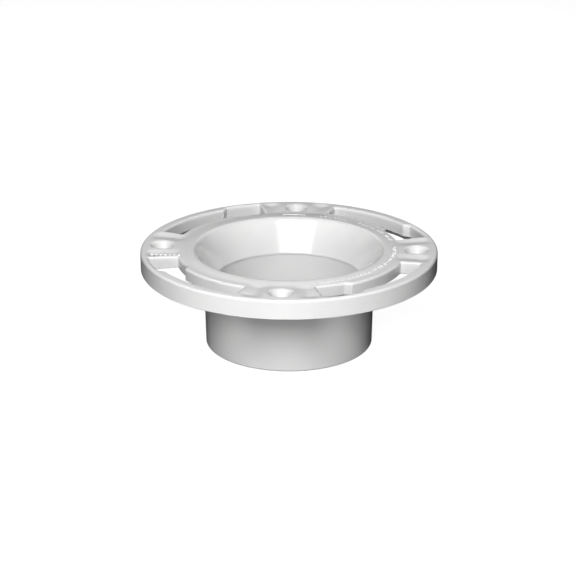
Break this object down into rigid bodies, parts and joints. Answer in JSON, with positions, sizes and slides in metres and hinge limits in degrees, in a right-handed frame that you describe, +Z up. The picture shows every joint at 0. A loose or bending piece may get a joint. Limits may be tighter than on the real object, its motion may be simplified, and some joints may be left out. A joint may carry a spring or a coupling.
{
  "type": "toilet flange",
  "caption": "White PVC closet flange: funnel-mouthed drain hub with pipe socket and spigot, under a swivelling bolt ring with keyhole slots and countersunk screw holes.",
  "frame": {"origin": "centre of the spigot's bottom face", "axes": "+Z up along the drain's axis, out of the mouth; a screw hole lies 3.5 degrees clockwise of +X, seen from above"},
  "size_m": [0.1778, 0.1778, 0.0597],
  "materials": {
    "hub_pvc": "glossy moulded",
    "ring_pvc": "satin moulded"
  },
  "bodies": {
    "drain_hub": {"hub": "hub_pvc"},
    "swivel_ring": {"bolt_ring": "ring_pvc"}
  },
  "joints": [
    {"name": "ring_swivel", "type": "hinge", "parent": "drain_hub", "child": "swivel_ring", "pos_m": [0, 0, 0.054], "axis": [0, 0, 1], "continuous": true}
  ]
}
